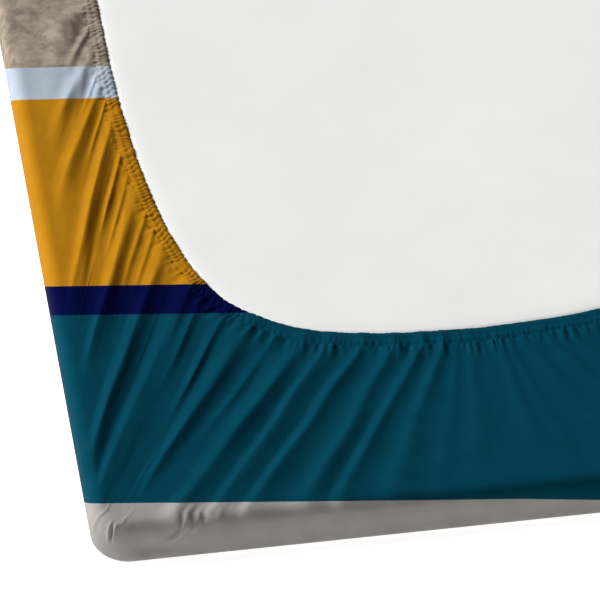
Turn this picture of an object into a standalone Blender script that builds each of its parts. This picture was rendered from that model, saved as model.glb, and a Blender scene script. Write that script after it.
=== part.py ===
"""A fitted sheet on a thin single mattress, lying on its sleeping face with the underside up.

The sheet is one cut of cloth. It covers the sleeping face, turns up the four sides and over onto the
underside, where its rim is a gathered casing with an elastic inside. The elastic draws the cloth into folds
that run from the casing towards the nearest corner of the mattress.

One quarter of the sheet is worked out from the tables below, in millimetres, and mirrored to the four
corners. A place on the rim or on the mattress edge is its distance from the middle of the short end, walked
round the corner to the middle of the long side. A plan point of a quarter is (from the long side, from the
short end).
"""

import bpy
import numpy as np

MM = 0.001

# Outside sizes of the made-up mattress, in millimetres.
WIDTH = 990.0
LENGTH = 1905.0
CORNER_RADIUS = 46.0
CLOTH_TOP = 58.5  # the cloth on the underside, between its folds
CLOTH_THICKNESS = 2.0

HALF_WIDTH = WIDTH / 2
HALF_LENGTH = LENGTH / 2

# Section of the sheet's outside from the sleeping face up the side and over the edge: how far inside the
# outermost line, how high, the way the cloth faces (out, up), and how much of an edge fold it carries.
SIDE_SECTION = [
    # inset, height, out, up, fold
    (8.0, 0.0, 0.0, -1.0, 0.0),
    (0.9, 8.0, 0.95, -0.3, 0.0),
    (0.0, 31.0, 1.0, 0.0, 0.0),
    (1.8, 47.0, 0.95, 0.3, 0.25),
    (6.5, 55.0, 0.7, 0.7, 0.6),
    (15.0, CLOTH_TOP, 0.1, 1.0, 0.95),
]

# The rim's inner line on the underside, one quarter of it, from the middle of the short end.
RIM_LINE = [
    # from_side, from_end
    (495.0, 274.0),
    (450.0, 276.0),
    (400.0, 279.0),
    (350.0, 286.0),
    (300.0, 298.0),
    (250.0, 324.0),
    (200.0, 370.0),
    (165.0, 450.0),
    (143.0, 550.0),
    (132.0, 640.0),
    (126.0, 720.0),
    (123.0, 800.0),
    (122.0, 952.5),
]

RIM_REACH = 2.0  # the rim's direction is taken from this far behind to this far ahead

# The casing: a flat tube of cloth on the rim, wider beside the end's middle than where the elastic gathers it.
CASING_WIDTHS = (25.0, 17.0)
FLAT_STRETCH = (200.0, 360.0)  # places on the rim between which it narrows from the one width to the other
CASING_SECTION = [
    # across, height, fold: the share of the width from the rim's inner line, and how much of a fold it carries
    (0.7, CLOTH_TOP + 2.4, 0.7),
    (0.28, CLOTH_TOP + 2.6, 0.4),
    (0.03, CLOTH_TOP + 1.0, 0.2),
    (0.06, CLOTH_TOP - CLOTH_THICKNESS, 0.0),
]
CASING_STEP = 0.4  # its outer border over the cloth that runs into it

# The lines of pull between the casing and the mattress edge.
PULL = [
    # at_rim, at_edge: a line leaves the rim here and would meet the edge there
    (0.0, 0.0),
    (46.0, 141.0),
    (70.0, 204.0),
    (102.0, 243.0),
    (137.0, 310.0),
    (176.0, 355.0),
    (201.0, 394.0),
    (263.0, 462.0),
    (300.0, 485.0),
    (362.0, 563.0),
    (422.0, 622.0),
    (522.0, 736.0),
    (661.0, 880.0),
    (723.0, 1020.0),
    (797.0, 1140.0),
]

# The folds, each along a line of pull.
FOLDS = [
    # crest, height, near, far, reach: its place on the rim, the widths of its flanks towards the end's
    # middle and away from it, and the share of the way to the edge that it runs (over 1: on down the side)
    (14.0, 1.8, 9.0, 8.0, 0.85),
    (28.0, 1.2, 7.0, 6.0, 0.85),
    (46.0, 4.2, 11.0, 10.0, 1.1),
    (70.0, 4.6, 13.0, 14.0, 1.1),
    (103.0, 5.2, 18.0, 15.0, 1.1),
    (138.0, 5.8, 18.0, 16.0, 1.15),
    (177.0, 4.6, 24.0, 11.0, 1.1),
    (204.0, 6.2, 16.0, 21.0, 1.3),
    (234.0, 2.0, 9.0, 10.0, 0.45),
    (267.0, 5.4, 22.0, 26.0, 0.75),
    (299.0, 3.4, 8.0, 14.0, 0.42),
    (334.0, 2.6, 11.0, 13.0, 0.32),
    (356.0, 1.6, 8.0, 9.0, 0.22),
    (362.0, 6.2, 50.0, 28.0, 1.0),
    (426.0, 6.6, 37.0, 34.0, 1.05),
    (458.0, 2.2, 10.0, 13.0, 0.28),
    (488.0, 3.0, 14.0, 15.0, 0.32),
    (526.0, 6.2, 42.0, 42.0, 0.85),
    (562.0, 2.8, 15.0, 16.0, 0.34),
    (600.0, 3.8, 20.0, 20.0, 0.42),
    (654.0, 6.8, 46.0, 30.0, 0.85),
    (694.0, 1.8, 9.0, 10.0, 0.3),
    (726.0, 4.8, 28.0, 32.0, 0.75),
    (749.0, 2.2, 11.0, 13.0, 0.25),
    (792.0, 4.8, 32.0, 32.0, 0.65),
    (828.0, 4.4, 14.0, 16.0, 0.3),
    (868.0, 6.8, 34.0, 26.0, 0.5),
]
FADE = 0.35  # share of the way over which a fold dies out
FOLD_CURVE, FOLD_ROUND = 2.0, 0.2  # how hollow its flanks are, and how round its crest
HELD_SHARE, HELD_REACH = 0.6, 0.25  # the casing holds a fold down to this share over this much of the way
WIDENING = 0.5  # share by which a fold's near flank is wider at the edge than at the casing
SKIRT_STEPS = (0.3, 0.6, 0.85, 1.0)  # rows of the cloth from the mattress edge (0) to the casing (1)

# The four quarters in turn, and how a quarter's folds differ from the table, which is the corner at (-1, -1).
QUARTERS = [
    # side, end, from_end, change, shift, calm: side of the width and of the length, walked from the end's
    # middle or not, change of fold height, shift of the folds, and the place up to which they are calm
    (1, -1, True, 0.16, 2.1, 150.0),
    (1, 1, False, 0.22, -2.6, 0.0),
    (-1, 1, True, 0.18, 1.7, 80.0),
    (-1, -1, False, 0.0, 0.0, 0.0),
]
CALM_FROM, CALM_SHARE = 40.0, 0.25  # a calm fold has its crest beyond this place, and this much of its height
HEIGHT_TURN, SHIFT_TURN = 1.9, 2.3  # radians from fold to fold of the waves that vary their heights and places

# The mesh of the sheet: columns of a quarter, those round its corner, and the grid they are picked from.
COLUMNS = 61
CORNER_COLUMNS = 7
COLUMN_GRID = 2.0

# The mattress: a plain rounded block, 2 mm inside the cloth at its edges.
MATTRESS_SECTION = [
    # inset, height
    (13.0, 2.3),
    (5.0, 11.0),
    (4.2, 30.0),
    (6.2, 46.0),
    (11.5, 52.6),
    (20.0, 55.4),
    (34.0, 56.0),
]
MATTRESS_CORNER_STEPS = 8
MATTRESS_SIDE_STEPS = 3

CLOTH_COLOUR, CLOTH_ROUGHNESS = (0.60, 0.42, 0.13, 1.0), 0.85
COVER_COLOUR, COVER_ROUGHNESS = (0.86, 0.86, 0.84, 1.0), 0.8


def smooth_curve(at, knots, values):
    """Cubic through the values at the knots that never overshoots: each knot's slope is the harmonic mean
    of the slopes on its two sides, or level where they disagree."""
    knots, values = np.asarray(knots, float), np.asarray(values, float)
    step = np.diff(knots)
    rise = np.diff(values) / step
    slope = np.zeros(len(knots))
    same_way = rise[:-1] * rise[1:] > 0
    total = np.where(same_way, rise[:-1] + rise[1:], 1.0)
    slope[1:-1] = np.where(same_way, 2 * rise[:-1] * rise[1:] / total, 0.0)
    slope[0], slope[-1] = rise[0], rise[-1]
    i = np.clip(np.searchsorted(knots, at, side="right") - 1, 0, len(step) - 1)
    u = (at - knots[i]) / step[i]
    return (
        values[i] * (1 + 2 * u) * (1 - u) ** 2
        + values[i + 1] * u**2 * (3 - 2 * u)
        + step[i] * slope[i] * u * (1 - u) ** 2
        - step[i] * slope[i + 1] * u**2 * (1 - u)
    )


def smooth_step(x):
    """0 up to 0, 1 from 1 on, and a smooth S between."""
    x = np.clip(x, 0.0, 1.0)
    return x * x * (3 - 2 * x)


def edge_line(place, inset):
    """Plan points of a quarter of the rounded outline, `inset` inside it: straight, a quarter circle about
    the corner's centre, straight."""
    radius = CORNER_RADIUS - inset
    into_turn = np.clip((place - HALF_WIDTH + CORNER_RADIUS) / (2 * CORNER_RADIUS), 0, 1)
    turn = into_turn * np.pi / 2
    along_end = np.maximum(HALF_WIDTH - CORNER_RADIUS - place, 0)
    along_side = np.maximum(place - HALF_WIDTH - CORNER_RADIUS, 0)
    from_side = CORNER_RADIUS + along_end - radius * np.sin(turn)
    from_end = CORNER_RADIUS + along_side - radius * np.cos(turn)
    return np.stack([from_side, from_end], axis=-1)


def rim_places():
    """Distance of each point of RIM_LINE from the end's middle, along the chords."""
    chords = np.diff(np.array(RIM_LINE), axis=0)
    return np.concatenate([[0.0], np.cumsum(np.linalg.norm(chords, axis=1))])


def rim_line(place, outward):
    """Plan points of a quarter of the rim, moved `outward` at right angles to it towards the edges."""
    knots = rim_places()
    ahead, behind = np.minimum(place + RIM_REACH, knots[-1]), np.maximum(place - RIM_REACH, 0.0)
    line, forward, back = (
        np.stack([smooth_curve(at, knots, values) for values in np.array(RIM_LINE).T], axis=-1)
        for at in (place, ahead, behind)
    )
    along = (forward - back) / np.linalg.norm(forward - back, axis=-1, keepdims=True)
    across = np.stack([-along[:, 1], along[:, 0]], axis=-1)
    return np.minimum(line + outward[:, None] * across, (HALF_WIDTH, HALF_LENGTH))


def pulled_to(place):
    """The place on the mattress edge that the line of pull from a place on the rim runs to."""
    at_rim, at_edge = np.array([*PULL, (rim_places()[-1], HALF_WIDTH + HALF_LENGTH)]).T
    return smooth_curve(place, at_rim, at_edge)


def fold_height(place, way, change, shift, calm):
    """Height of the folds at a place on the rim and a share `way` of the distance from the edge (0) to the
    casing (1). A fold's flank falls as (1 - share of its width) to the power FOLD_CURVE, from a crest that
    FOLD_ROUND rounds. Each fold dies out over FADE at the end of its reach, and folds add up."""
    total = np.zeros(len(place))
    for count, (crest, height, near, far, reach) in enumerate(FOLDS):
        off = place - crest - shift * np.sin(count * SHIFT_TURN + shift)
        out = np.where(off < 0, -off / (near * (1 + WIDENING * (1 - way))), off / far)
        out = (np.hypot(out, FOLD_ROUND) - FOLD_ROUND) / (np.hypot(1, FOLD_ROUND) - FOLD_ROUND)
        tall = height * (1 + change * np.cos(count * HEIGHT_TURN + shift))
        tall *= CALM_SHARE if CALM_FROM < crest < calm else 1.0
        still_there = smooth_step((way - 1 + reach) / FADE + 0.5)
        total += tall * np.maximum(1 - out, 0) ** FOLD_CURVE * still_there
    return total * (HELD_SHARE + (1 - HELD_SHARE) * smooth_step((1 - way) / HELD_REACH))


def quarter_columns(*quarter):
    """Places of a quarter's columns on the rim: the middles' and the corner's first, and then one by one
    where straight lines between the columns so far miss the folds by most."""
    rim_end = rim_places()[-1]
    grid = np.linspace(0, rim_end, int(rim_end / COLUMN_GRID) + 1)
    folds = [fold_height(grid, way, *quarter) for way in (0.0, *SKIRT_STEPS)]
    corner = np.linspace(HALF_WIDTH - CORNER_RADIUS, HALF_WIDTH + CORNER_RADIUS, CORNER_COLUMNS)
    chosen = {0, len(grid) - 1, *np.searchsorted(pulled_to(grid), corner).tolist()}
    while len(chosen) < COLUMNS:
        so_far = sorted(chosen)
        miss = [np.abs(row - np.interp(grid, grid[so_far], row[so_far])) for row in folds]
        chosen.add(int(np.max(miss, axis=0).argmax()))
    return grid[sorted(chosen)]


def quarter_rings(*quarter):
    """The rings of one quarter of the sheet, outside first: up the side, over the edge, along the
    underside, over the casing, and back on the inside. An array of ring, column, (side, end, height)."""
    rim = quarter_columns(*quarter)
    edge = pulled_to(rim)
    at_edge = fold_height(rim, 0.0, *quarter)
    width = np.interp(rim, FLAT_STRETCH, CASING_WIDTHS)
    border = rim_line(rim, width)
    inner_line = edge_line(edge, SIDE_SECTION[-1][0])

    def ring(plan, height):
        return np.column_stack([plan, np.broadcast_to(height, len(plan))])

    def side(depth):
        rings = []
        for inset, height, out, up, carried in SIDE_SECTION:
            lift = carried * at_edge - depth
            rings.append(ring(edge_line(edge, inset - out * lift), height + up * lift))
        return rings

    def skirt(depth):
        rows = []
        for way in SKIRT_STEPS:
            plan = inner_line * (1 - way) + border * way
            step = CASING_STEP if way == 1 else 0.0
            rows.append(ring(plan, CLOTH_TOP + step + fold_height(rim, way, *quarter) - depth))
        return rows

    at_casing = fold_height(rim, 1.0, *quarter)
    casing = [
        ring(rim_line(rim, across * width), height + carried * at_casing)
        for across, height, carried in CASING_SECTION
    ]
    inside = skirt(CLOTH_THICKNESS)[::-1] + side(CLOTH_THICKNESS)[::-1]
    return np.array(side(0.0) + skirt(0.0) + casing + inside)


def whole_rings(quarter_of):
    """Mirrors the quarters to the four corners and joins them into closed rings, anticlockwise from above."""
    parts = []
    for side, end, from_end, *quarter in QUARTERS:
        rings = quarter_of(*quarter)
        x = side * (HALF_WIDTH - rings[..., 0])
        y = end * (HALF_LENGTH - rings[..., 1])
        placed = np.stack([x, y, rings[..., 2]], axis=-1)
        placed = placed if from_end else placed[:, ::-1]
        parts.append(placed[:, :-1])
    return np.concatenate(parts, axis=1) * MM


def closed_body(name, rings, colour, roughness):
    """Skins the rings from first to last and closes both ends with a fan about their middle."""
    count, columns = rings.shape[:2]
    points = rings.reshape(-1, 3).tolist()
    faces = []
    for i in range(count - 1):
        for j in range(columns):
            here, beside = i * columns + j, i * columns + (j + 1) % columns
            faces.append((here, beside, beside + columns, here + columns))
    for ring, turn in ((0, -1), (count - 1, 1)):
        middle = len(points)
        points.append(rings[ring].mean(axis=0).tolist())
        for j in range(columns):
            pair = (ring * columns + j, ring * columns + (j + 1) % columns)
            faces.append((*pair[::turn], middle))
    mesh = bpy.data.meshes.new(name)
    mesh.from_pydata(points, [], faces)
    mesh.shade_smooth()
    material = bpy.data.materials.new(name)
    material.use_nodes = True
    shader = material.node_tree.nodes["Principled BSDF"]
    shader.inputs["Base Color"].default_value = colour
    shader.inputs["Roughness"].default_value = roughness
    mesh.materials.append(material)
    body = bpy.data.objects.new(name, mesh)
    bpy.context.scene.collection.objects.link(body)
    return body


def mattress_quarter(*_quarter):
    """The rings of one quarter of the mattress, bottom to top."""
    turn_start, turn_end = HALF_WIDTH - CORNER_RADIUS, HALF_WIDTH + CORNER_RADIUS
    place = np.concatenate(
        [
            np.linspace(0, turn_start, MATTRESS_SIDE_STEPS)[:-1],
            np.linspace(turn_start, turn_end, MATTRESS_CORNER_STEPS + 1),
            np.linspace(turn_end, HALF_WIDTH + HALF_LENGTH, MATTRESS_SIDE_STEPS)[1:],
        ]
    )
    rings = []
    for inset, height in MATTRESS_SECTION:
        rings.append(np.column_stack([edge_line(place, inset), np.full(len(place), height)]))
    return np.array(rings)


for old in list(bpy.data.objects):
    bpy.data.objects.remove(old, do_unlink=True)

closed_body("fitted_sheet", whole_rings(quarter_rings), CLOTH_COLOUR, CLOTH_ROUGHNESS)
closed_body("mattress", whole_rings(mattress_quarter), COVER_COLOUR, COVER_ROUGHNESS)
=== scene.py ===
"""A fitted sheet on a thin single mattress, lying on its sleeping face with the underside up.

Sizes are in millimetres and MM turns them to metres. One quarter of the object is worked out from the
middle of a short end, round the corner, to the middle of a long side, and mirrored to the four corners. A
plan point of a quarter is (from the long side, from the short end), and a place on the rim or on the mattress
edge is the distance walked from the end's middle.
"""

import bpy
import numpy as np
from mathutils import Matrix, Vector


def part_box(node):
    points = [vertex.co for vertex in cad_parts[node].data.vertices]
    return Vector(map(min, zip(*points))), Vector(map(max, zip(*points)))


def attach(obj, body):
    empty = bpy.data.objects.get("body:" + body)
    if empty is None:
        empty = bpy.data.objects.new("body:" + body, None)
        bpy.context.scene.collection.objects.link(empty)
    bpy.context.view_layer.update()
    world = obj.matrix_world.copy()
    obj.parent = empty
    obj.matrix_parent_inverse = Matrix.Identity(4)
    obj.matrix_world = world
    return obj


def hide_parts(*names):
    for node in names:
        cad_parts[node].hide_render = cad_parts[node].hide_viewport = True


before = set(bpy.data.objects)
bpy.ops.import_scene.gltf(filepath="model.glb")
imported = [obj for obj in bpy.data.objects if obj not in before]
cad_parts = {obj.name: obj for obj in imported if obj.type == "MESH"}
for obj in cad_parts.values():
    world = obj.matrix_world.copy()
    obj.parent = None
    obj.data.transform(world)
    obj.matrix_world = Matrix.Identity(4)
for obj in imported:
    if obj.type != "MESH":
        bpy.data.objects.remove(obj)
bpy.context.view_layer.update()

# ---------------------------------------------------------------------------------------------------------
# The mattress: a thin slab of foam in a plain pale knitted cover with soft edges. It lies on its sleeping
# face, and only its underside shows, inside the sheet's rim. The knit is too fine to see from a step away
# and leaves the cover even and matt.

MM = 0.001
HALF_WIDTH, HALF_LENGTH = (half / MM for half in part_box("fitted_sheet")[1][:2])
MATTRESS_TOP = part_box("mattress")[1][2] / MM
CORNER_RADIUS = 46.0
LEAST_RADIUS = 4.0  # of the outline's corner, however far inside it a line runs
MATTRESS_SECTION = [
    # inset, height
    (300.0, 2.3),
    (60.0, 2.3),
    (13.0, 2.3),
    (8.2, 4.6),
    (5.4, 9.5),
    (4.4, 18.0),
    (4.2, 30.0),
    (5.0, 41.0),
    (7.2, 48.5),
    (11.5, 52.6),
    (16.0, 54.6),
    (22.0, 55.6),
    (34.0, MATTRESS_TOP),
]
MATTRESS_CROWN = [
    # outward of the rim, height over MATTRESS_TOP: the foam swells a little inside the sheet's opening
    (10.0, -0.2),
    (4.0, 0.0),
    (0.8, 0.9),
    (-1.6, 2.4),
    (-6.0, 3.2),
    (-20.0, 3.5),
    (-60.0, 3.7),
]
RIM_LINE = [
    # from_side, from_end: the rim's inner line, a quarter of it, from the middle of the short end
    (495.0, 274.0),
    (450.0, 276.0),
    (400.0, 279.0),
    (350.0, 286.0),
    (300.0, 298.0),
    (250.0, 324.0),
    (200.0, 370.0),
    (165.0, 450.0),
    (143.0, 550.0),
    (132.0, 640.0),
    (126.0, 720.0),
    (123.0, 800.0),
    (122.0, 952.5),
]
PULL = [
    # at_rim, at_edge: a line of pull through the cloth leaves the rim here and would meet the edge there
    (0.0, 0.0),
    (46.0, 141.0),
    (70.0, 204.0),
    (102.0, 243.0),
    (137.0, 310.0),
    (176.0, 355.0),
    (201.0, 394.0),
    (263.0, 462.0),
    (300.0, 485.0),
    (362.0, 563.0),
    (422.0, 622.0),
    (522.0, 736.0),
    (661.0, 880.0),
    (723.0, 1020.0),
    (797.0, 1140.0),
]
COVER_COLOUR = "#E6E6E5"
COVER_CLOUDS = 111.0  # size of the patches in which the cover is slightly lighter and darker
COVER_STITCH = 2.2  # width of a knit stitch, drawn about twice as wide as it is
WAVE_PERIOD = 314.0  # of a wave texture's bands at a scale of 1
MATTRESS_STEP = 4.0  # columns of the mattress along the rim
QUARTERS = [
    # side, end, whether going round it starts at the end's middle, change of fold height, shift of the
    # folds, place up to which the folds are calm
    (1, -1, True, 0.16, 2.1, 150.0),
    (1, 1, False, 0.22, -2.6, 0.0),
    (-1, 1, True, 0.18, 1.7, 80.0),
    (-1, -1, False, 0.0, 0.0, 0.0),
]


def edge_line(place, inset):
    """Plan points of a quarter of the rounded outline, `inset` inside it: a straight, a quarter circle about
    the corner's centre, a straight."""
    radius = np.maximum(CORNER_RADIUS - inset, LEAST_RADIUS)
    deeper = inset - CORNER_RADIUS + radius
    turn = np.clip((place - HALF_WIDTH + CORNER_RADIUS) / (2 * CORNER_RADIUS), 0, 1) * np.pi / 2
    straight_end, straight_side = HALF_WIDTH - CORNER_RADIUS, HALF_LENGTH - CORNER_RADIUS
    along_end = np.maximum(straight_end - place, 0) / straight_end
    along_side = np.maximum(place - HALF_WIDTH - CORNER_RADIUS, 0) / straight_side
    from_side = CORNER_RADIUS + deeper - radius * np.sin(turn) + along_end * (straight_end - deeper)
    from_end = CORNER_RADIUS + deeper - radius * np.cos(turn) + along_side * (straight_side - deeper)
    return np.stack(np.broadcast_arrays(from_side, from_end), axis=-1)


def smooth_curve(at, knots, values):
    """Cubic through the values at the knots that never overshoots: each knot's slope is the harmonic mean
    of the slopes on its two sides, or level where they disagree."""
    knots, values = np.asarray(knots, float), np.asarray(values, float)
    step = np.diff(knots)
    rise = np.diff(values) / step
    same_way = rise[:-1] * rise[1:] > 0
    total = np.where(same_way, rise[:-1] + rise[1:], 1.0)
    inner = np.where(same_way, 2 * rise[:-1] * rise[1:] / total, 0.0)
    slope = np.concatenate([rise[:1], inner, rise[-1:]])
    i = np.clip(np.searchsorted(knots, at, side="right") - 1, 0, len(step) - 1)
    u = (at - knots[i]) / step[i]
    return (
        values[i] * (1 + 2 * u) * (1 - u) ** 2
        + values[i + 1] * u**2 * (3 - 2 * u)
        + step[i] * slope[i] * u * (1 - u) ** 2
        - step[i] * slope[i + 1] * u**2 * (1 - u)
    )


RIM_PLACES = np.concatenate([[0.0], np.cumsum(np.linalg.norm(np.diff(np.array(RIM_LINE), axis=0), axis=1))])
RIM_QUARTER = RIM_PLACES[-1]
RIM_REACH = 2.0  # the rim's direction is taken from this far behind to this far ahead


def rim_line(place, outward):
    """Plan points of a quarter of the rim, moved `outward` at right angles to it towards the edges."""
    ahead, behind = np.minimum(place + RIM_REACH, RIM_QUARTER), np.maximum(place - RIM_REACH, 0.0)
    line, forward, back = (
        np.stack([smooth_curve(at, RIM_PLACES, values) for values in np.array(RIM_LINE).T], axis=-1)
        for at in (place, ahead, behind)
    )
    along = (forward - back) / np.linalg.norm(forward - back, axis=-1, keepdims=True)
    across = np.stack([-along[..., 1], along[..., 0]], axis=-1)
    return np.minimum(line + np.asarray(outward)[..., None] * across, (HALF_WIDTH, HALF_LENGTH))


def pulled_to(place):
    """The place on the mattress edge that the line of pull from a place on the rim runs to."""
    at_rim, at_edge = np.array([*PULL, (RIM_QUARTER, HALF_WIDTH + HALF_LENGTH)]).T
    return smooth_curve(place, at_rim, at_edge)


def all_round(quarter_of):
    """Mirrors the quarters to the four corners and joins them into closed rings, anticlockwise from above.
    quarter_of gives a quarter's grid of (from side, from end, height, further values)."""
    parts = []
    for number, (side, end, from_end, *_) in enumerate(QUARTERS):
        grid = quarter_of(number)
        grid[..., 0] = side * (HALF_WIDTH - grid[..., 0])
        grid[..., 1] = end * (HALF_LENGTH - grid[..., 1])
        grid = grid if from_end else grid[:, ::-1]
        parts.append(grid[:, :-1])
    whole = np.concatenate(parts, axis=1)
    return whole[..., :3] * MM, whole[..., 3:]


def skin(name, grid, tube=False, capped=()):
    """A mesh object over a grid of rings: a quad between neighbours round each ring and from ring to ring,
    from the last to the first too on a tube, and a fan about the middle of each capped ring."""
    rows, columns = grid.shape[:2]
    row, column = np.meshgrid(np.arange(rows if tube else rows - 1), np.arange(columns), indexing="ij")
    beside, above = (column + 1) % columns, (row + 1) % rows
    low, high = row * columns, above * columns
    corners = [low + column, low + beside, high + beside, high + column]
    faces = np.stack(corners, axis=-1).reshape(-1, 4).tolist()
    points = [grid.reshape(-1, 3)]
    ring = np.arange(columns)
    for number, at in enumerate(capped):
        points.append([[0.0, 0.0, grid[at, :, 2].mean()]])
        pair = np.stack([ring, (ring + 1) % columns], axis=-1) + at % rows * columns
        pair = pair[:, ::-1] if at == 0 else pair
        faces += np.column_stack([pair, np.full(columns, rows * columns + number)]).tolist()
    mesh = bpy.data.meshes.new(name)
    mesh.from_pydata(np.concatenate(points).tolist(), [], faces)
    mesh.shade_smooth()
    piece = bpy.data.objects.new(name, mesh)
    bpy.context.scene.collection.objects.link(piece)
    return piece


def linear(colour):
    """The linear red, green, blue and alpha of an sRGB hex colour."""
    parts = np.array([int(colour[k : k + 2], 16) for k in (1, 3, 5)]) / 255
    bent = np.where(parts <= 0.04045, parts / 12.92, ((parts + 0.055) / 1.055) ** 2.4)
    return (*bent.tolist(), 1.0)


def add_node(tree, kind, values=None, **settings):
    """Adds a node to a material's tree. values maps its inputs to numbers, colours or other nodes' outputs,
    and settings are the node's own properties."""
    node = tree.nodes.new(kind)
    for name, value in settings.items():
        setattr(node, name, value)
    for key, value in (values or {}).items():
        if isinstance(value, bpy.types.NodeSocket):
            tree.links.new(value, node.inputs[key])
        else:
            node.inputs[key].default_value = value
    return node


def new_finish(name, **shader_values):
    """A material with a principled shader that has these values, its tree and the shader."""
    material = bpy.data.materials.new(name)
    material.use_nodes = True
    shader = material.node_tree.nodes["Principled BSDF"]
    for key, value in shader_values.items():
        shader.inputs[key.replace("_", " ")].default_value = value
    return material, material.node_tree, shader


def mattress_quarter(_number):
    """Rings of a quarter of the block, from the middle of its lower face round its edges and on over the
    upper one to the swell inside the rim."""
    place = np.linspace(0, RIM_QUARTER, int(RIM_QUARTER / MATTRESS_STEP))
    inset, height = np.array(MATTRESS_SECTION).T[:, :, None]
    outward, crown = np.array(MATTRESS_CROWN).T[:, :, None]
    plan = np.concatenate([edge_line(pulled_to(place), inset), rim_line(place[None], outward)])
    heights = np.concatenate([height, MATTRESS_TOP + crown])
    return np.dstack([plan, np.broadcast_to(heights, plan.shape[:2])])


mattress_grid, _ = all_round(mattress_quarter)
mattress = skin("mattress_block", mattress_grid, capped=(0, -1))

cover, tree, shader = new_finish("knitted_cover", Roughness=0.9)
here = add_node(tree, "ShaderNodeTexCoord").outputs["Object"]
cloudy = add_node(
    tree, "ShaderNodeTexNoise", {"Vector": here, "Scale": 1 / (COVER_CLOUDS * MM), "Detail": 3.0}
)
tone = add_node(
    tree,
    "ShaderNodeMapRange",
    {"Value": cloudy.outputs["Fac"], "From Min": 0.3, "From Max": 0.7, "To Min": 0.975, "To Max": 1.01},
)
tinted = add_node(
    tree,
    "ShaderNodeVectorMath",
    {0: linear(COVER_COLOUR)[:3], "Scale": tone.outputs["Result"]},
    operation="SCALE",
)
tree.links.new(tinted.outputs["Vector"], shader.inputs["Base Color"])
stitches = add_node(
    tree,
    "ShaderNodeTexWave",
    {"Vector": here, "Scale": WAVE_PERIOD / COVER_STITCH, "Distortion": 1.5},
)
relief = add_node(
    tree, "ShaderNodeBump", {"Height": stitches.outputs["Fac"], "Strength": 0.15, "Distance": 0.2 * MM}
)
tree.links.new(relief.outputs["Normal"], shader.inputs["Normal"])
mattress.data.materials.append(cover)

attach(mattress, "root")
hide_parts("mattress")

# ---------------------------------------------------------------------------------------------------------
# The sheet: one cut of soft brushed cloth printed in wide stripes. It covers the sleeping face, turns up the
# sides and over onto the underside, and its gathered rim drags it into folds that run to the nearest corner.
# The pull leaves the stripes slanting on the underside.

CLOTH_TOP = 58.5  # the cloth on the underside, between its folds
SIDE_SECTION = [
    # inset, height, out, up, fold: the way the cloth faces, and how much of a fold at the edge it carries
    (8.0, 0.0, 0.0, -1.0, 0.0),
    (4.2, 1.3, 0.6, -0.8, 0.0),
    (1.4, 5.4, 0.9, -0.4, 0.0),
    (0.3, 13.0, 1.0, 0.0, 0.0),
    (0.0, 22.0, 1.0, 0.0, 0.0),
    (0.0, 31.0, 1.0, 0.0, 0.04),
    (0.5, 39.0, 1.0, 0.1, 0.1),
    (1.6, 46.0, 0.95, 0.25, 0.2),
    (3.6, 51.2, 0.8, 0.5, 0.38),
    (6.6, 55.0, 0.6, 0.75, 0.58),
    (10.4, 57.4, 0.35, 0.9, 0.78),
    (15.0, CLOTH_TOP, 0.1, 1.0, 0.95),
]
SIDE_ROWS, SKIRT_ROWS = 26, 42  # rings from the sleeping face up over the edge, and on the underside
ROWS_CURVE = 1.2  # how much closer together the rings are towards the casing
FACE_RINGS = [
    # inset, share of the slant that the stripes have there
    (260.0, 0.0),
    (90.0, 0.4),
    (30.0, 0.8),
]
FOLDS = [
    # crest, height, near, far, reach: its place on the rim, the widths of its flanks towards the end's
    # middle and away from it, and the share of the way to the edge that it runs
    (14.0, 1.8, 9.0, 8.0, 0.85),
    (28.0, 1.2, 7.0, 6.0, 0.85),
    (46.0, 4.2, 11.0, 10.0, 1.1),
    (70.0, 4.6, 13.0, 14.0, 1.1),
    (103.0, 5.2, 18.0, 15.0, 1.1),
    (138.0, 5.8, 18.0, 16.0, 1.15),
    (177.0, 4.6, 24.0, 11.0, 1.1),
    (204.0, 6.2, 16.0, 21.0, 1.3),
    (234.0, 2.0, 9.0, 10.0, 0.45),
    (267.0, 5.4, 22.0, 26.0, 0.75),
    (299.0, 3.4, 8.0, 14.0, 0.42),
    (334.0, 2.6, 11.0, 13.0, 0.32),
    (356.0, 1.6, 8.0, 9.0, 0.22),
    (362.0, 6.2, 50.0, 28.0, 1.0),
    (426.0, 6.6, 37.0, 34.0, 1.05),
    (458.0, 2.2, 10.0, 13.0, 0.28),
    (488.0, 3.0, 14.0, 15.0, 0.32),
    (526.0, 6.2, 42.0, 42.0, 0.85),
    (562.0, 2.8, 15.0, 16.0, 0.34),
    (600.0, 3.8, 20.0, 20.0, 0.42),
    (654.0, 6.8, 46.0, 30.0, 0.85),
    (694.0, 1.8, 9.0, 10.0, 0.3),
    (726.0, 4.8, 28.0, 32.0, 0.75),
    (749.0, 2.2, 11.0, 13.0, 0.25),
    (792.0, 4.8, 32.0, 32.0, 0.65),
    (828.0, 4.4, 14.0, 16.0, 0.3),
    (868.0, 6.8, 34.0, 26.0, 0.5),
]
SHIFT_TURN, HEIGHT_TURN = 2.3, 1.9  # radians from fold to fold, for the changes of its place and height
FADE = 0.35  # share of the way over which a fold dies out
FOLD_CURVE, FOLD_ROUND = 2.0, 0.2  # how hollow its flanks are, and how round its crest
HELD_SHARE, HELD_REACH = 0.6, 0.25  # the casing holds a fold down to this share over this much of the way
WIDENING = 0.5  # share by which a fold's near flank is wider at the edge than at the casing
WAVERING = 0.4  # share by which a fold's height changes along it
CALM_FROM, CALM_SHARE = 40.0, 0.25  # where the calm stretch starts, and a fold's share of its height there
DRIFT = 4.0  # how far a fold's crest wanders along the rim
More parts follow.
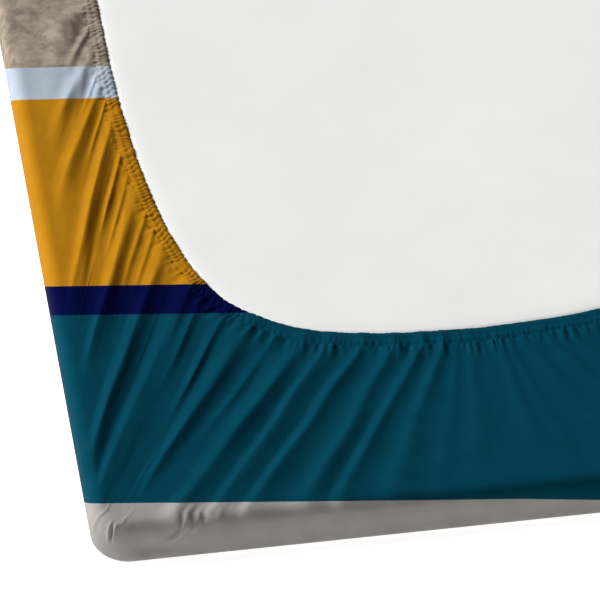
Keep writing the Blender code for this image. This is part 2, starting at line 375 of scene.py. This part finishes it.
CREASES = [
    # along, down, along_low, down_low, width, height: from and to, as the place on the edge and the way
    # down over it, of a small ridge, or of a groove where the height is negative
    (383.0, -6.0, 407.0, 34.0, 3.4, 2.4),
    (391.0, 2.0, 404.0, 26.0, 2.4, -1.2),
    (371.0, -3.0, 379.0, 20.0, 3.0, 1.9),
    (365.0, 0.0, 371.0, 18.0, 2.4, -0.9),
    (345.0, -2.0, 352.0, 14.0, 5.0, 1.0),
    (316.0, -2.0, 323.0, 12.0, 5.0, 0.8),
    (442.0, 6.0, 428.0, 48.0, 27.0, -3.2),
    (483.5, 14.0, 484.0, 26.0, 2.0, -3.2),
    (488.5, 9.0, 488.0, 32.0, 2.6, 2.0),
    (478.5, 10.0, 479.5, 31.0, 2.6, 1.8),
    (460.0, -10.0, 478.0, 10.0, 3.2, 1.0),
    (514.0, -6.0, 520.0, 30.0, 3.2, 1.2),
]
CREASE_PAST, CREASE_FADE = 0.25, 0.4  # shares of its length: how far it goes past its ends, and fades over
CASING_WIDTHS = (25.0, 17.0)  # flat, beside the end's middle, and gathered, round the rest of the rim
FLAT_STRETCH = (200.0, 360.0)  # places on the rim between which it goes from flat to gathered
PUCKERS = [
    # height, values along the way, seed, pitch: the slight unevenness of the cloth on the underside
    (0.3, 5.0, 12, 12.0),
    (0.6, 2.5, 13, 60.0),
]
PUCKERS_FROM = 0.25  # share of the way from the edge at which they have their full height
RIPPLE_PITCH, RIPPLE_WIDTH, RIPPLE_HEIGHT = 34.0, 0.2, 0.35  # thin creases along the zero lines of a noise
DEEPEST = -0.8  # no hollow of the cloth is deeper, because the mattress lies under it
UNEVEN_VALUES, UNEVEN_BEFORE = 40, 4  # random values along, and how many of them lie before 0
LOOKED_AT = len(QUARTERS) - 1  # number of the quarter at the corner that is looked at
COLUMN_STEPS = [
    # from this place on the rim on, distance between columns at the corner that is looked at, and elsewhere
    (0.0, 2.2, 2.4),
    (150.0, 1.5, 3.2),
    (350.0, 2.4, 4.6),
]
SHEET_ENDS, SHEET_SINKS = 9.0, 1.6  # from the casing, under the gathered band, and how deep it lies there
STRIPES = [
    # from this far along the cloth on, colour
    (0.0, "#969390"),
    (44.5, "#003B4C"),
    (366.0, "#000535"),
    (416.0, "#A67212"),
    (751.0, "#A2ACB9"),
    (812.5, "#96897A"),
]
STRIPE_SPAN = 1000.0  # the colour ramp's length
SLANT = [
    # from the end, slant of the stripes there
    (0.0, 0.134),
    (800.0, 0.115),
]
STRAIGHT_ON = (160.0, 360.0)  # past the end's middle a stripe runs straight on to here, and is back here
GOES_ON = 2.3  # how much faster than back its distance across grows there
DRAG, DRAG_FROM = 1.08, 60.0  # the pull carries a stripe this far towards the end for each mm below this
NAP_PATCH, MOTTLE_GRAIN = 30.0, 17.0  # sizes of the nap's patches and of the mottle in the taupe stripe
CLOTH_GRAIN = 3.5  # of its uneven surface, drawn much coarser than its threads, which are too fine to show


def smooth_step(x):
    """0 up to 0, 1 from 1 on, and a smooth S between."""
    x = np.clip(x, 0.0, 1.0)
    return x * x * (3 - 2 * x)


def fade_out(x, stretch):
    """1 up to the start of a stretch, 0 from its end on, and a smooth S between."""
    return smooth_step((stretch[1] - x) / np.ptp(stretch))


def uneven(number, place, along, seed, pitch):
    """Smooth random relief between -1 and 1 that doesn't break between quarters: random values at each
    `pitch` round the rim and at each whole number along, blended by an S curve both ways. A share of the way
    times 4 has four of them between the edge and the casing."""
    count = int(4 * RIM_QUARTER / pitch)
    values = np.random.default_rng(seed).uniform(-1, 1, (count, UNEVEN_VALUES))
    from_end = QUARTERS[number][2]
    around = number * RIM_QUARTER + (place if from_end else RIM_QUARTER - place)
    v = np.asarray(along, float) + UNEVEN_BEFORE
    u, v = np.broadcast_arrays(around / (4 * RIM_QUARTER) * count, v)
    i, j = np.floor(u).astype(int), np.clip(np.floor(v).astype(int), 0, UNEVEN_VALUES - 2)
    a, b = smooth_step(u - i), smooth_step(v - j)
    i, beside = i % count, (i + 1) % count
    low = values[i, j] * (1 - a) + values[beside, j] * a
    high = values[i, j + 1] * (1 - a) + values[beside, j + 1] * a
    return low * (1 - b) + high * b


def fold_relief(number, place, way):
    """Height of the folds at a place on the rim and a share `way` of the distance from the edge (0) to the
    casing (1). A fold's flank falls as (1 - share of its width) to the power FOLD_CURVE, from a crest that
    FOLD_ROUND rounds. A sine and a cosine of its number shift it and change its height in each quarter. Each
    fold dies out over FADE at the end of its reach, and folds add up."""
    change, shift, calm = QUARTERS[number][3:]
    relief = 0.0
    held = HELD_SHARE + (1 - HELD_SHARE) * smooth_step((1 - way) / HELD_REACH)
    for count, (crest, height, near, far, reach) in enumerate(FOLDS):
        off = place - crest - shift * np.sin(count * SHIFT_TURN + shift)
        u = np.where(off < 0, -off / (near * (1 + WIDENING * (1 - way))), off / far)
        u = (np.hypot(u, FOLD_ROUND) - FOLD_ROUND) / (np.hypot(1, FOLD_ROUND) - FOLD_ROUND)
        flank = np.maximum(1 - u, 0) ** FOLD_CURVE
        calmed = CALM_SHARE if CALM_FROM < crest < calm else 1
        tall = height * (1 + change * np.cos(count * HEIGHT_TURN + shift)) * calmed
        relief = relief + tall * flank * smooth_step((way - 1 + reach) / FADE + 0.5)
    return relief * held * (1 + WAVERING * uneven(number, place, way * 4, seed=15, pitch=40.0))


def crease_relief(number, along, down):
    """Height of the small creases over the edge at a place along it and a way down over it: a bell across a
    line that bends as the square of the way down, and that fades at both ends. In the quarters whose columns
    are further apart, they are wider and lower by as much."""
    _, looked_at, elsewhere = COLUMN_STEPS[1]
    softer = 1.0 if number == LOOKED_AT else elsewhere / looked_at
    relief = 0.0
    for start, top, stop, low, width, height in CREASES:
        u = (down - top) / (low - top)
        middle = start + (stop - start) * np.clip(u, 0, 1) ** 2
        ends = smooth_step((u + CREASE_PAST) / CREASE_FADE)
        ends = ends * smooth_step((1 + CREASE_PAST - u) / CREASE_FADE)
        relief = relief + height / softer * ends * np.exp(-(((along - middle) / (width * softer)) ** 2))
    return relief


def stripe_place(number, plan, height, slanted=1.0):
    """How far along the printed stripes a point lies: its distance from the end, plus the slant times its
    distance across, less the drag at its height. The distance across is counted from the side, and in two
    of the quarters it goes on growing past the end's middle, up to STRAIGHT_ON."""
    from_side, from_end = plan[..., 0], plan[..., 1] - DRAG * (DRAG_FROM - height)
    past = HALF_WIDTH - from_side
    goes_on = (number % 2 == 0) * fade_out(plan[..., 1], (0.0, RIM_LINE[0][1])) * fade_out(past, STRAIGHT_ON)
    slant = np.interp(from_end, *np.array(SLANT).T)
    return from_end + slanted * slant * (from_side + GOES_ON * past * goes_on)


def column_places(number):
    """Places of a quarter's columns on the rim, closer together where the creases are."""
    starts, looked_at, elsewhere = np.array(COLUMN_STEPS).T
    steps = looked_at if number == LOOKED_AT else elsewhere
    stops = np.append(starts[1:], RIM_QUARTER)
    places = [np.arange(start, stop - step / 2, step) for start, stop, step in zip(starts, stops, steps)]
    return np.append(np.concatenate(places), RIM_QUARTER)


def casing_width(place):
    """Width of the casing at a place on the rim."""
    return np.interp(place, FLAT_STRETCH, CASING_WIDTHS)


def pull_ends(place):
    """Plan points between which a line of pull runs on the underside: beside the casing and at the edge."""
    return rim_line(place, casing_width(place)), edge_line(pulled_to(place), SIDE_SECTION[-1][0])


def pull_direction(place):
    """The line of pull's unit vector at each place, as its parts along the rim and square to it."""
    start, end = pull_ends(place)
    line = end - start
    across = rim_line(place, casing_width(place) + 1) - start
    square = (line * across).sum(axis=-1) / np.linalg.norm(line, axis=-1)
    along = line[:, 0] * across[:, 1] - line[:, 1] * across[:, 0]
    return along / np.linalg.norm(line, axis=-1), square


def skirt_surface(number, place, from_casing):
    """Plan points and heights of the cloth on the underside, at a place on the rim and a distance from the
    casing along the line of pull: the folds, whose crests wander but for the last stretch to the casing, a
    slight unevenness, and thin creases between them."""
    casing, edge = pull_ends(place)
    length = np.linalg.norm(casing - edge, axis=-1)
    way = 1 - from_casing / length
    plan = edge * (1 - way[..., None]) + casing * way[..., None]
    drift = DRIFT * uneven(number, place, way * 4, seed=14, pitch=55.0) * smooth_step(2 - 2 * way)
    relief = fold_relief(number, np.clip(place + drift, 0, RIM_QUARTER), way)
    puckers = 0.0
    for height, times, seed, pitch in PUCKERS:
        puckers = puckers + height * uneven(number, place, way * times, seed, pitch)
    line = uneven(number, place, way * 3, seed=17, pitch=RIPPLE_PITCH) / RIPPLE_WIDTH
    ripple_height = RIPPLE_HEIGHT * (1 + uneven(number, place, way * 4, seed=18, pitch=50.0))
    puckers += ripple_height * np.exp(-(line**2))
    relief += puckers * smooth_step(way / PUCKERS_FROM)
    relief += crease_relief(number, pulled_to(place), -length * way)
    return plan, CLOTH_TOP + np.maximum(relief, DEEPEST)


def skirt_rows(place):
    """Distances from the casing of the sheet's rows on the underside, closer together towards it."""
    casing, edge = pull_ends(place)
    length = np.linalg.norm(casing - edge, axis=-1)
    share = (1 - np.linspace(0, 1, SKIRT_ROWS + 1)[1:, None]) ** ROWS_CURVE
    return SHEET_ENDS + (length - SHEET_ENDS) * share


def sheet_quarter(number):
    """Rings of a quarter of the sheet: the sleeping face, up the side, over the edge and along the underside
    to a little before the casing, where it dips under the gathered band. The fourth value is the stripe
    place."""
    place = column_places(number)
    edge = pulled_to(place)
    inset, slanted = np.array(FACE_RINGS).T[:, :, None]
    face_plan = edge_line(edge, inset)
    flat = np.zeros(face_plan.shape[:2])
    face = np.dstack([face_plan, flat, stripe_place(number, face_plan, flat, slanted)])

    table = np.array(SIDE_SECTION)
    walked = np.concatenate([[0.0], np.cumsum(np.linalg.norm(np.diff(table[:, :2], axis=0), axis=1))])
    rows = np.linspace(0, walked[-1], SIDE_ROWS)
    inset, height, out, up, carried = (smooth_curve(rows, walked, values)[:, None] for values in table.T)
    lift = carried * fold_relief(number, place, np.zeros(1))
    lift = lift + crease_relief(number, edge, walked[-1] - rows[:, None])
    side_plan = edge_line(edge, inset - out * lift)
    side_height = height + up * lift
    side = np.dstack([side_plan, side_height, stripe_place(number, side_plan, side_height)])

    from_casing = skirt_rows(place)
    skirt_plan, skirt_height = skirt_surface(number, place, from_casing)
    skirt_height = skirt_height - SHEET_SINKS * smooth_step(2 - from_casing / SHEET_ENDS)
    skirt = np.dstack([skirt_plan, skirt_height, stripe_place(number, skirt_plan, skirt_height)])
    return np.concatenate([face, side, skirt])


def stripe_values(piece, values):
    """Stores the stripe place at each point of a piece, for the printed colours."""
    attribute = piece.data.attributes.new("stripe_place", "FLOAT", "POINT")
    attribute.data.foreach_set("value", np.asarray(values, np.float32).ravel())


sheet_grid, stripes = all_round(sheet_quarter)
sheet = skin("sheet_cloth", sheet_grid, capped=(0,))
stripe_values(sheet, np.append(stripes, HALF_LENGTH - DRAG * DRAG_FROM))  # and at the face's middle


def brushed_print(name):
    """Brushed polyester cloth, printed: stripes with crisp edges, a mottled print in the taupe one, a nap
    that is slightly lighter and darker in patches, and a finely uneven surface with hardly any shine."""
    material, tree, shader = new_finish(name, Roughness=0.95, Specular_IOR_Level=0.04)
    here = add_node(tree, "ShaderNodeTexCoord").outputs["Object"]
    place = add_node(tree, "ShaderNodeAttribute", attribute_name="stripe_place").outputs["Fac"]
    share = add_node(tree, "ShaderNodeMath", {0: place, 1: STRIPE_SPAN}, operation="DIVIDE").outputs["Value"]
    ramp = add_node(tree, "ShaderNodeValToRGB", {"Fac": share})
    ramp.color_ramp.interpolation = "CONSTANT"
    while len(ramp.color_ramp.elements) < len(STRIPES):
        ramp.color_ramp.elements.new(1.0)
    for element, (start, colour) in zip(ramp.color_ramp.elements, STRIPES):
        element.position = start / STRIPE_SPAN
        element.color = linear(colour)
    patches = add_node(
        tree, "ShaderNodeTexNoise", {"Vector": here, "Scale": 1 / (NAP_PATCH * MM), "Detail": 4.0}
    )
    mottle = add_node(
        tree,
        "ShaderNodeTexNoise",
        {
            "Vector": here,
            "Scale": 1 / (MOTTLE_GRAIN * MM),
            "Detail": 4.0,
            "Roughness": 0.6,
            "Distortion": 0.2,
        },
    )
    in_taupe = add_node(tree, "ShaderNodeMath", {0: place, 1: STRIPES[-1][0]}, operation="GREATER_THAN")
    mottled = add_node(
        tree,
        "ShaderNodeMapRange",
        {"Value": mottle.outputs["Fac"], "From Min": 0.38, "From Max": 0.62, "To Min": -0.34, "To Max": 0.12},
    )
    strength = add_node(
        tree,
        "ShaderNodeMath",
        {0: mottled.outputs["Result"], 1: in_taupe.outputs["Value"]},
        operation="MULTIPLY",
    )
    nap = add_node(
        tree,
        "ShaderNodeMapRange",
        {"Value": patches.outputs["Fac"], "From Min": 0.3, "From Max": 0.7, "To Min": 0.93, "To Max": 1.07},
    )
    tone = add_node(tree, "ShaderNodeMath", {0: nap.outputs["Result"], 1: strength.outputs["Value"]})
    tinted = add_node(
        tree,
        "ShaderNodeVectorMath",
        {0: ramp.outputs["Color"], "Scale": tone.outputs["Value"]},
        operation="SCALE",
    )
    tree.links.new(tinted.outputs["Vector"], shader.inputs["Base Color"])
    grain = add_node(
        tree, "ShaderNodeTexNoise", {"Vector": here, "Scale": 1 / (CLOTH_GRAIN * MM), "Detail": 4.0}
    )
    relief = add_node(
        tree, "ShaderNodeBump", {"Height": grain.outputs["Fac"], "Strength": 0.4, "Distance": 0.6 * MM}
    )
    tree.links.new(relief.outputs["Normal"], shader.inputs["Normal"])
    return material


printed_cloth = brushed_print("brushed_printed_cloth")
sheet.data.materials.append(printed_cloth)

# ---------------------------------------------------------------------------------------------------------
# The hem: the same cloth turned over all round the rim and sewn down as a casing for an elastic, which
# gathers it into close ridges. Its inner edge is rolled and beaded, and the gathers run on into the cloth.

CASING_SECTION = [
    # outward, rise, ridge, bead, lift: a ring's distance from the rim where the casing is gathered, its
    # height, and how much of the ridges, of the beads and of the folds it carries
    (5.0, -2.2, 0.0, 0.0, 0.0),
    (1.2, -1.9, 0.0, 0.8, 0.1),
    (0.0, -0.8, 0.0, 1.0, 0.2),
    (0.1, 0.6, 0.2, 1.0, 0.3),
    (1.2, 1.6, 0.4, 0.8, 0.35),
    (3.0, 2.2, 0.75, 0.5, 0.4),
    (5.0, 2.3, 0.85, 0.2, 0.5),
    (7.0, 2.2, 0.85, 0.0, 0.6),
    (8.2, 1.9, 0.8, 0.0, 0.65),
    (9.4, 2.1, 0.95, 0.0, 0.7),
    (11.5, 2.3, 1.1, 0.0, 0.8),
    (13.8, 1.9, 1.1, 0.0, 0.9),
    (15.6, 0.8, 1.0, 0.0, 1.0),
]
HEM_STEP = 1.0  # columns of the hem along the rim
SEAM = 8.0  # from the casing's inner edge: the seam that holds the elastic in, where the ridges change
SEAM_STEP, SEAM_BLEND = 2.0, 3.0  # over which their shift and their height change there
RIDGE_PITCH, RIDGE_HEIGHT = 7.5, 1.7  # of the ridges into which the elastic gathers the casing
RIDGE_SLIP, RIDGE_CHANGE = 1.3, 0.5  # how uneven they are: in place, in pitches, and in height, as a share
RIDGE_SHIFT = 0.15  # by which a ridge jumps at the seam, in pitches
RIDGE_BOW, BOW_MIDDLE, BOW_LENGTH = 0.35, 12.5, 4.5  # in pitches, its middle and length across the casing
RIDGE_CURVE, RIDGE_LEVEL = 0.7, 0.6  # how round their tops are, and the share of their height below the cloth
RIDGE_REACH = 4.0  # how far they run on into the flat cloth, and twice as far into the gathered cloth
FLAT_SHARE, FLAT_SHARE_OUTSIDE = 0.1, 0.4  # of their height in the flat stretch, inside and outside the seam
BEAD_PITCH, BEAD_DEPTH = 9.5, 3.0  # of the beads along its inner edge
BEAD_CURVE, BEAD_LEVEL = 0.5, 0.7  # as of the ridges
BEADED_LEAST = 0.2  # share of the beads' depth in the flat stretch
BAND_ROWS = (0.0, 1.5, 3.0, 5.0, 7.5, 10.5, 14.0, 18.0, 23.0, 29.0, 36.0)  # from the casing's border
BAND_LIFT = 0.12  # of the gathered band beside the casing over the sheet
BAND_DIPS = 0.6  # share of its width from which on it goes down to as much under the sheet
BAND_BACK, BAND_DEPTH = (23.0, 5.0), 2.0  # the rows below which its underside runs back, and how deep
RIDGES_FADE = (0.25, 0.5)  # shares of its width between which the ridges and the groove fade out
PLEATS_FADE = (0.35, 0.8)  # and between which the pleats do
GROOVE, GROOVE_REACH = 0.55, 2.2  # depth and reach of the groove along the casing's border
GROOVE_CHANGE, GROOVE_FILLED = 0.8, 0.7  # how uneven its depth is, and the share of it that the gathers fill
PLEATS = [
    # pitch, height, reach, seed: the small folds where the cloth runs into the casing
    (8.0, 1.1, 9.0, 11),
    (14.0, 2.2, 28.0, 25),
]
PLEAT_SLIP, PLEAT_CHANGE = 0.7, 0.8  # how uneven they are: in place, in pitches, and in height, as a share
SLIP_PITCHES, CHANGE_PITCHES = 3.0, 1.7  # over how many pleats their place and their height change
PLEAT_LEAN = 0.6  # where the line of pull leans, they are lower by the lean's cosine to this power


def gathered_share(place):
    """0 where the casing is flat, beside the end's middle, 1 where it is gathered, a smooth S between."""
    return smooth_step((place - FLAT_STRETCH[0]) / np.ptp(FLAT_STRETCH))


def ridge_pattern(number, place, outward):
    """Ridges across the casing: a power of a sine's size, with round tops and sharp gaps, at an uneven pitch
    and height, bowed by a cosine, and shifted a little at the seam."""
    slip = RIDGE_SLIP * uneven(number, place, outward / 30, seed=21, pitch=19.0)
    bow = RIDGE_BOW * np.cos((outward - BOW_MIDDLE) / BOW_LENGTH)
    shifted = RIDGE_SHIFT * smooth_step((outward - SEAM) / SEAM_STEP + 0.5) + bow
    ridges = np.abs(np.sin(np.pi * (place / RIDGE_PITCH + slip + shifted))) ** RIDGE_CURVE - RIDGE_LEVEL
    outside = smooth_step((outward - SEAM) / SEAM_BLEND + 0.5)
    least = FLAT_SHARE + (FLAT_SHARE_OUTSIDE - FLAT_SHARE) * outside
    full = least + (1 - least) * gathered_share(place)
    return full * ridges * (1 + RIDGE_CHANGE * uneven(number, place, outward / 8, seed=22, pitch=8.0))


def pleat_relief(number, place, outward):
    """Height of the pleats: for each row of PLEATS rounded waves along the rim, at an uneven pitch and
    height, that die out with the distance from the casing."""
    relief = 0.0
    for pitch, height, reach, seed in PLEATS:
        slip = PLEAT_SLIP * uneven(number, place, 0.0, seed, SLIP_PITCHES * pitch)
        waves = 0.5 + 0.5 * np.cos(2 * np.pi * (place / pitch + slip))
        change = PLEAT_CHANGE * uneven(number, place, 0.0, seed + 1, CHANGE_PITCHES * pitch)
        relief = relief + height * (1 + change) * waves * np.exp(-outward / reach)
    return relief


def casing_rings(number, place):
    """Plan points and heights of the casing: its section carried along the rim. Its inner edge moves in and
    out with the beads, a power of a sine's size at an uneven pitch, and the ridges and folds lift it."""
    outward, rise, ridge, bead, lift = np.array(CASING_SECTION).T[:, :, None]
    slip = uneven(number, place, 0.0, seed=23, pitch=21.0)
    beads = np.abs(np.sin(np.pi * (place / BEAD_PITCH + slip))) ** BEAD_CURVE - BEAD_LEVEL
    beaded = BEADED_LEAST + (1 - BEADED_LEAST) * gathered_share(place)
    inward = bead * BEAD_DEPTH * beads * beaded
    plan = rim_line(place, outward * casing_width(place) / CASING_WIDTHS[1] - inward)
    relief = lift * fold_relief(number, place, np.ones(1))
    return plan, CLOTH_TOP + rise + relief + ridge * RIDGE_HEIGHT * ridge_pattern(number, place, outward)


def sheet_under_band(number, place):
    """Plan points and heights of the sheet below the rows of the gathered band: its surface where its mesh
    has ended, and elsewhere straight between the points of that mesh, so that the band lies close to it."""
    columns = column_places(number)
    from_casing = np.array(BAND_ROWS)[:, None]
    plan, surface = skirt_surface(number, columns, from_casing + np.zeros(len(columns)))
    rows = skirt_rows(columns)[::-1]
    lines = zip(rows.T, skirt_surface(number, columns, rows)[1].T)
    meshed = np.array([np.interp(BAND_ROWS, *line) for line in lines]).T
    rings = np.dstack([plan, np.where(from_casing < SHEET_ENDS, surface, meshed)])
    band = np.array([[np.interp(place, columns, line) for line in ring.T] for ring in rings])
    return band[:, :2].transpose(0, 2, 1), band[:, 2]


def band_relief(number, place):
    """Height of the gathered band over the sheet: a slight lift that turns negative towards its end, ridges
    that run on out of the casing and a groove along its border, both fading fast, and the pleats. They are
    square to the rim, so each point looks them up at the place on the rim that is nearest to it."""
    from_casing = np.array(BAND_ROWS)[:, None]
    to_end = from_casing / BAND_ROWS[-1]
    along, square = pull_direction(place)
    nearest, outward = np.clip(place + along * from_casing, 0, RIM_QUARTER), square * from_casing
    gathered = gathered_share(place)
    depth = GROOVE * (1 + GROOVE_CHANGE * uneven(number, nearest, 0.0, seed=24, pitch=12.0))
    groove = depth * np.exp(-((outward / GROOVE_REACH) ** 2)) * (1 - GROOVE_FILLED * gathered)
    ridges = RIDGE_HEIGHT * ridge_pattern(number, nearest, CASING_WIDTHS[1] + outward)
    ridges = ridges * np.exp(-outward / (RIDGE_REACH * (1 + gathered)))
    pleats = square**PLEAT_LEAN * pleat_relief(number, nearest, outward)
    lift = BAND_LIFT * (1 - 2 * smooth_step((to_end - BAND_DIPS) / (1 - BAND_DIPS)))
    return lift + (ridges - groove) * fade_out(to_end, RIDGES_FADE) + pleats * fade_out(to_end, PLEATS_FADE)


def hem_quarter(number):
    """Rings of a quarter of the hem: the casing, the gathered band beside it, along the lines of pull and
    over the sheet, and the band's underside, back to the casing. The fourth value is the stripe place."""
    place = np.linspace(0, RIM_QUARTER, int(RIM_QUARTER / HEM_STEP))
    casing_plan, casing_height = casing_rings(number, place)
    band_plan, band_height = sheet_under_band(number, place)
    band_height = band_height + band_relief(number, place)
    under = [BAND_ROWS.index(row) for row in BAND_BACK]
    plan = np.concatenate([casing_plan, band_plan, band_plan[under]])
    height = np.concatenate([casing_height, band_height, band_height[under] - BAND_DEPTH])
    return np.dstack([plan, height, stripe_place(number, plan, height)])


hem_grid, stripes = all_round(hem_quarter)
hem = skin("gathered_hem", hem_grid, tube=True)
stripe_values(hem, stripes)
hem.data.materials.append(printed_cloth)

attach(hem, "root")
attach(sheet, "root")
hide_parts("fitted_sheet")

# ---------------------------------------------------------------------------------------------------------
# The studio: a plain white acrylic table lit from below, which leaves it even and hardly shaded, a large soft
# light from the left and slightly behind, and a pale room. The camera looks down on the near left corner
# through a long lens.

TABLE_HALF = 6000.0
TABLE_DROP = 0.2  # below the sleeping face
TABLE_COLOUR = "#CCCCCC"
TABLE_GLOW = 0.88  # it is lit from below, which keeps shadows off it
LIGHT_FROM = (-0.70, 0.41, 0.59)  # the direction towards it
LIGHT_STRENGTH = 4.95
LIGHT_SPREAD = 38.0  # degrees
ROOM_BRIGHTNESS = 0.1
WHITE = "#FFFFFF"
LENS, SENSOR = 500.0, 36.0
LOOKS_AT = (-193.4, -533.8, 0.0)
CAMERA_DISTANCE = 9966.0
CAMERA_HEIGHT_ANGLE, CAMERA_SIDE_ANGLE = 43.16, 8.405  # degrees above level, and to the left of square on
CAMERA_SEES_TO = 40000.0

table_mesh = bpy.data.meshes.new("table_top")
corners = np.array([(-1, -1), (1, -1), (1, 1), (-1, 1)]) * TABLE_HALF * MM
table_mesh.from_pydata([(x, y, -TABLE_DROP * MM) for x, y in corners.tolist()], [], [(0, 1, 2, 3)])
table = bpy.data.objects.new("table_top", table_mesh)
bpy.context.scene.collection.objects.link(table)
paint, tree, shader = new_finish("lit_white_acrylic", Roughness=0.8)
shader.inputs["Base Color"].default_value = linear(TABLE_COLOUR)
shader.inputs["Emission Color"].default_value = linear(WHITE)
shader.inputs["Emission Strength"].default_value = TABLE_GLOW
table_mesh.materials.append(paint)

softbox = bpy.data.objects.new("softbox", bpy.data.lights.new("softbox", "SUN"))
softbox.data.energy = LIGHT_STRENGTH
softbox.data.angle = np.radians(LIGHT_SPREAD)
softbox.rotation_euler = Vector(LIGHT_FROM).to_track_quat("Z", "Y").to_euler()
bpy.context.scene.collection.objects.link(softbox)

room = bpy.data.worlds.new("pale_room")
room.use_nodes = True
background = room.node_tree.nodes["Background"]
background.inputs["Color"].default_value = linear(WHITE)
background.inputs["Strength"].default_value = ROOM_BRIGHTNESS
bpy.context.scene.world = room
bpy.context.scene.view_settings.view_transform = "Standard"

up_angle, side_angle = np.radians([CAMERA_HEIGHT_ANGLE, CAMERA_SIDE_ANGLE])
level = np.cos(up_angle)
looking = np.array([np.sin(side_angle) * level, np.cos(side_angle) * level, -np.sin(up_angle)])
camera = bpy.data.objects.new("camera", bpy.data.cameras.new("camera"))
camera.data.lens = LENS
camera.data.sensor_width = SENSOR
camera.data.clip_end = CAMERA_SEES_TO * MM
camera.location = ((np.array(LOOKS_AT) - looking * CAMERA_DISTANCE) * MM).tolist()
camera.rotation_euler = Vector(looking).to_track_quat("-Z", "Y").to_euler()
bpy.context.scene.collection.objects.link(camera)
bpy.context.scene.camera = camera
